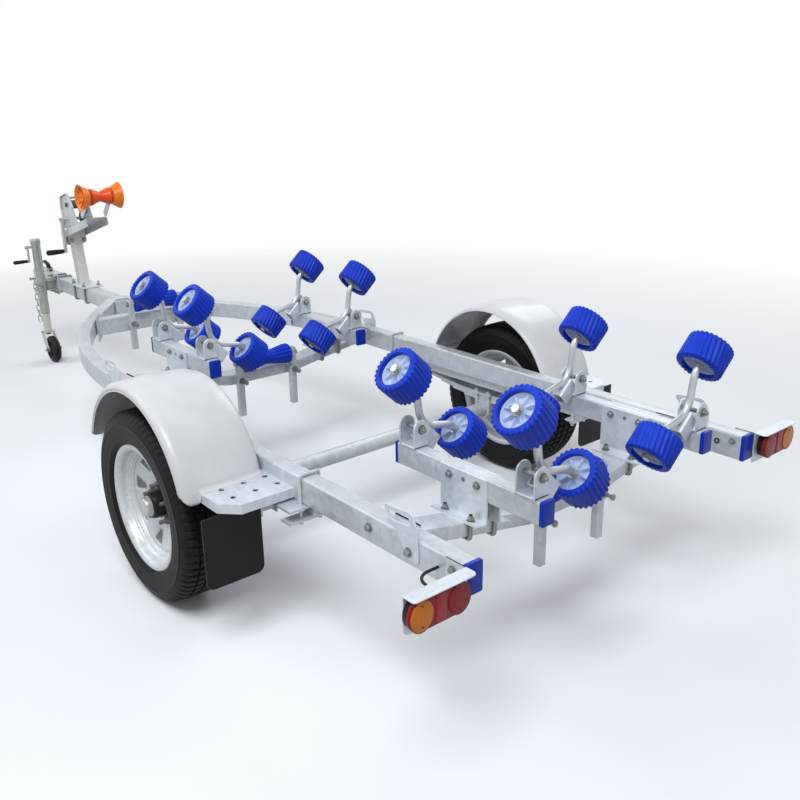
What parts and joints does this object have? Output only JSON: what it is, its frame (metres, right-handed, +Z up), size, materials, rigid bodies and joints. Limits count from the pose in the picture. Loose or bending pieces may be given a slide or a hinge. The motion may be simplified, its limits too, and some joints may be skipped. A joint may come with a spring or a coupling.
{
  "type": "boat trailer",
  "caption": "Single-axle boat trailer with a curved tube frame, rocking roller arms, keel and bow rollers, winch post, fenders and a jockey wheel.",
  "frame": {"origin": "on the ground, at the middle of the bounding box's base", "axes": "+X forward to the coupler, +Y to the trailer's left, +Z up"},
  "size_m": [4.324, 1.65, 1.027],
  "materials": {
    "galvanised": "hot-dip galvanised, dull with a fine spangle",
    "zinc_steel": "bright zinc plating",
    "rim_steel": "galvanised pressed wheel",
    "black_steel": "black satin",
    "roller_blue": "soft moulded polymer",
    "roller_orange": "moulded polyurethane",
    "cap_plastic": "moulded blue",
    "fender_plastic": "moulded white",
    "flap_rubber": "smooth black",
    "lamp_housing": "black moulding",
    "lamp_lens": "moulded red and amber",
    "cable": "black sheath",
    "tyre": "matt black"
  },
  "bodies": {
    "frame": {"drawbar": "galvanised", "rail_left": "galvanised", "rail_right": "galvanised", "crossmember_front": "galvanised", "roller_crossmembers": "galvanised", "coupler": "zinc_steel", "safety_chain": "zinc_steel", "winch_post": "galvanised", "winch_frame": "zinc_steel", "axle": "galvanised", "spring_sets": "galvanised", "fenders": "fender_plastic", "step_plates": "galvanised", "mud_flaps": "flap_rubber", "lamp_brackets": "galvanised", "lamps": "lamp_housing", "lamp_lenses": "lamp_lens", "lamp_leads": "cable", "end_caps": "cap_plastic", "tie_down_loops": "galvanised", "keel_roller_posts": "galvanised", "roller_beams": "galvanised", "jockey_tube": "zinc_steel"},
    "road_wheel_left": {"tyre_left": "tyre", "wheel_left": "rim_steel"},
    "road_wheel_right": {"tyre_right": "tyre", "wheel_right": "rim_steel"},
    "rocker_front_fore_left": {"rocker_arm_front_fore_left": "galvanised"},
    "hull_roller_front_fore_outer_left": {"hull_roller_front_fore_outer_left": "roller_blue"},
    "hull_roller_front_fore_inner_left": {"hull_roller_front_fore_inner_left": "roller_blue"},
    "rocker_front_fore_right": {"rocker_arm_front_fore_right": "galvanised"},
    "hull_roller_front_fore_outer_right": {"hull_roller_front_fore_outer_right": "roller_blue"},
    "hull_roller_front_fore_inner_right": {"hull_roller_front_fore_inner_right": "roller_blue"},
    "rocker_front_aft_left": {"rocker_arm_front_aft_left": "galvanised"},
    "hull_roller_front_aft_outer_left": {"hull_roller_front_aft_outer_left": "roller_blue"},
    "hull_roller_front_aft_inner_left": {"hull_roller_front_aft_inner_left": "roller_blue"},
    "rocker_front_aft_right": {"rocker_arm_front_aft_right": "galvanised"},
    "hull_roller_front_aft_outer_right": {"hull_roller_front_aft_outer_right": "roller_blue"},
    "hull_roller_front_aft_inner_right": {"hull_roller_front_aft_inner_right": "roller_blue"},
    "rocker_rear_fore_left": {"rocker_arm_rear_fore_left": "galvanised"},
    "hull_roller_rear_fore_outer_left": {"hull_roller_rear_fore_outer_left": "roller_blue"},
    "hull_roller_rear_fore_inner_left": {"hull_roller_rear_fore_inner_left": "roller_blue"},
    "rocker_rear_fore_right": {"rocker_arm_rear_fore_right": "galvanised"},
    "hull_roller_rear_fore_outer_right": {"hull_roller_rear_fore_outer_right": "roller_blue"},
    "hull_roller_rear_fore_inner_right": {"hull_roller_rear_fore_inner_right": "roller_blue"},
    "rocker_rear_aft_left": {"rocker_arm_rear_aft_left": "galvanised"},
    "hull_roller_rear_aft_outer_left": {"hull_roller_rear_aft_outer_left": "roller_blue"},
    "hull_roller_rear_aft_inner_left": {"hull_roller_rear_aft_inner_left": "roller_blue"},
    "rocker_rear_aft_right": {"rocker_arm_rear_aft_right": "galvanised"},
    "hull_roller_rear_aft_outer_right": {"hull_roller_rear_aft_outer_right": "roller_blue"},
    "hull_roller_rear_aft_inner_right": {"hull_roller_rear_aft_inner_right": "roller_blue"},
    "keel_roller_front": {"keel_roller_front": "roller_blue"},
    "keel_roller_mid": {"keel_roller_mid": "roller_blue"},
    "keel_roller_rear": {"keel_roller_rear": "roller_blue"},
    "bow_roller": {"bow_roller": "roller_orange"},
    "winch_crank": {"winch_crank": "zinc_steel"},
    "winch_drum": {"winch_drum": "black_steel"},
    "jockey_leg": {"jockey_leg": "zinc_steel"},
    "jockey_fork": {"jockey_fork": "zinc_steel"},
    "jockey_wheel": {"jockey_wheel": "tyre"}
  },
  "joints": [
    {"name": "road_wheel_left_spin", "type": "hinge", "parent": "frame", "child": "road_wheel_left", "pos_m": [-1.021, 0.735, 0.2875], "axis": [0, 1, 0], "continuous": true},
    {"name": "road_wheel_right_spin", "type": "hinge", "parent": "frame", "child": "road_wheel_right", "pos_m": [-1.021, -0.735, 0.2875], "axis": [0, 1, 0], "continuous": true},
    {"name": "rocker_front_fore_left_rock", "type": "hinge", "parent": "frame", "child": "rocker_front_fore_left", "pos_m": [-0.191, 0.32, 0.59], "axis": [-1, 0, 0], "range_deg": [0, 25]},
    {"name": "hull_roller_front_fore_outer_left_spin", "type": "hinge", "parent": "rocker_front_fore_left", "child": "hull_roller_front_fore_outer_left", "pos_m": [-0.191, 0.353, 0.733], "axis": [0, 0.7431, 0.6691], "continuous": true},
    {"name": "hull_roller_front_fore_inner_left_spin", "type": "hinge", "parent": "rocker_front_fore_left", "child": "hull_roller_front_fore_inner_left", "pos_m": [-0.191, 0.152, 0.529], "axis": [0, 0.7431, 0.6691], "continuous": true},
    {"name": "rocker_front_fore_right_rock", "type": "hinge", "parent": "frame", "child": "rocker_front_fore_right", "pos_m": [-0.191, -0.32, 0.59], "axis": [1, 0, 0], "range_deg": [0, 25]},
    {"name": "hull_roller_front_fore_outer_right_spin", "type": "hinge", "parent": "rocker_front_fore_right", "child": "hull_roller_front_fore_outer_right", "pos_m": [-0.191, -0.353, 0.733], "axis": [0, -0.7431, 0.6691], "continuous": true},
    {"name": "hull_roller_front_fore_inner_right_spin", "type": "hinge", "parent": "rocker_front_fore_right", "child": "hull_roller_front_fore_inner_right", "pos_m": [-0.191, -0.152, 0.529], "axis": [0, -0.7431, 0.6691], "continuous": true},
    {"name": "rocker_front_aft_left_rock", "type": "hinge", "parent": "frame", "child": "rocker_front_aft_left", "pos_m": [-0.541, 0.32, 0.59], "axis": [-1, 0, 0], "range_deg": [0, 25]},
    {"name": "hull_roller_front_aft_outer_left_spin", "type": "hinge", "parent": "rocker_front_aft_left", "child": "hull_roller_front_aft_outer_left", "pos_m": [-0.541, 0.353, 0.733], "axis": [0, 0.7431, 0.6691], "continuous": true},
    {"name": "hull_roller_front_aft_inner_left_spin", "type": "hinge", "parent": "rocker_front_aft_left", "child": "hull_roller_front_aft_inner_left", "pos_m": [-0.541, 0.152, 0.529], "axis": [0, 0.7431, 0.6691], "continuous": true},
    {"name": "rocker_front_aft_right_rock", "type": "hinge", "parent": "frame", "child": "rocker_front_aft_right", "pos_m": [-0.541, -0.32, 0.59], "axis": [1, 0, 0], "range_deg": [0, 25]},
    {"name": "hull_roller_front_aft_outer_right_spin", "type": "hinge", "parent": "rocker_front_aft_right", "child": "hull_roller_front_aft_outer_right", "pos_m": [-0.541, -0.353, 0.733], "axis": [0, -0.7431, 0.6691], "continuous": true},
    {"name": "hull_roller_front_aft_inner_right_spin", "type": "hinge", "parent": "rocker_front_aft_right", "child": "hull_roller_front_aft_inner_right", "pos_m": [-0.541, -0.152, 0.529], "axis": [0, -0.7431, 0.6691], "continuous": true},
    {"name": "rocker_rear_fore_left_rock", "type": "hinge", "parent": "frame", "child": "rocker_rear_fore_left", "pos_m": [-1.653, 0.32, 0.59], "axis": [-1, 0, 0], "range_deg": [0, 25]},
    {"name": "hull_roller_rear_fore_outer_left_spin", "type": "hinge", "parent": "rocker_rear_fore_left", "child": "hull_roller_rear_fore_outer_left", "pos_m": [-1.653, 0.353, 0.733], "axis": [0, 0.7431, 0.6691], "continuous": true},
    {"name": "hull_roller_rear_fore_inner_left_spin", "type": "hinge", "parent": "rocker_rear_fore_left", "child": "hull_roller_rear_fore_inner_left", "pos_m": [-1.653, 0.152, 0.529], "axis": [0, 0.7431, 0.6691], "continuous": true},
    {"name": "rocker_rear_fore_right_rock", "type": "hinge", "parent": "frame", "child": "rocker_rear_fore_right", "pos_m": [-1.653, -0.32, 0.59], "axis": [1, 0, 0], "range_deg": [0, 25]},
    {"name": "hull_roller_rear_fore_outer_right_spin", "type": "hinge", "parent": "rocker_rear_fore_right", "child": "hull_roller_rear_fore_outer_right", "pos_m": [-1.653, -0.353, 0.733], "axis": [0, -0.7431, 0.6691], "continuous": true},
    {"name": "hull_roller_rear_fore_inner_right_spin", "type": "hinge", "parent": "rocker_rear_fore_right", "child": "hull_roller_rear_fore_inner_right", "pos_m": [-1.653, -0.152, 0.529], "axis": [0, -0.7431, 0.6691], "continuous": true},
    {"name": "rocker_rear_aft_left_rock", "type": "hinge", "parent": "frame", "child": "rocker_rear_aft_left", "pos_m": [-2.059, 0.32, 0.59], "axis": [-1, 0, 0], "range_deg": [0, 25]},
    {"name": "hull_roller_rear_aft_outer_left_spin", "type": "hinge", "parent": "rocker_rear_aft_left", "child": "hull_roller_rear_aft_outer_left", "pos_m": [-2.059, 0.353, 0.733], "axis": [0, 0.7431, 0.6691], "continuous": true},
    {"name": "hull_roller_rear_aft_inner_left_spin", "type": "hinge", "parent": "rocker_rear_aft_left", "child": "hull_roller_rear_aft_inner_left", "pos_m": [-2.059, 0.152, 0.529], "axis": [0, 0.7431, 0.6691], "continuous": true},
    {"name": "rocker_rear_aft_right_rock", "type": "hinge", "parent": "frame", "child": "rocker_rear_aft_right", "pos_m": [-2.059, -0.32, 0.59], "axis": [1, 0, 0], "range_deg": [0, 25]},
    {"name": "hull_roller_rear_aft_outer_right_spin", "type": "hinge", "parent": "rocker_rear_aft_right", "child": "hull_roller_rear_aft_outer_right", "pos_m": [-2.059, -0.353, 0.733], "axis": [0, -0.7431, 0.6691], "continuous": true},
    {"name": "hull_roller_rear_aft_inner_right_spin", "type": "hinge", "parent": "rocker_rear_aft_right", "child": "hull_roller_rear_aft_inner_right", "pos_m": [-2.059, -0.152, 0.529], "axis": [0, -0.7431, 0.6691], "continuous": true},
    {"name": "keel_roller_front_spin", "type": "hinge", "parent": "frame", "child": "keel_roller_front", "pos_m": [0.5622, 0, 0.522], "axis": [0, 1, 0], "continuous": true},
    {"name": "keel_roller_mid_spin", "type": "hinge", "parent": "frame", "child": "keel_roller_mid", "pos_m": [-0.4028, 0, 0.449], "axis": [0, 1, 0], "continuous": true},
    {"name": "keel_roller_rear_spin", "type": "hinge", "parent": "frame", "child": "keel_roller_rear", "pos_m": [-1.9188, 0, 0.436], "axis": [0, 1, 0], "continuous": true},
    {"name": "bow_roller_spin", "type": "hinge", "parent": "frame", "child": "bow_roller", "pos_m": [1.079, 0, 0.962], "axis": [0, 1, 0], "continuous": true},
    {"name": "winch_crank_turn", "type": "hinge", "parent": "frame", "child": "winch_crank", "pos_m": [1.45169, 0, 0.82361], "axis": [0, 1, 0], "continuous": true},
    {"name": "winch_drum_turn", "type": "hinge", "parent": "frame", "child": "winch_drum", "pos_m": [1.41417, 0, 0.89992], "axis": [0, 1, 0], "continuous": true},
    {"name": "jockey_lift", "type": "slide", "parent": "frame", "child": "jockey_leg", "axis": [0, 0, 1], "range_m": [-0.04, 0.09]},
    {"name": "jockey_swivel", "type": "hinge", "parent": "jockey_leg", "child": "jockey_fork", "pos_m": [1.779, 0.118, 0.16], "axis": [0, 0, 1], "continuous": true},
    {"name": "jockey_wheel_spin", "type": "hinge", "parent": "jockey_fork", "child": "jockey_wheel", "pos_m": [1.727, 0.118, 0.075], "axis": [0, 1, 0], "continuous": true}
  ],
  "couplings": [
    {"joint": "winch_drum_turn", "follows": "winch_crank_turn", "ratio": -0.4815}
  ]
}
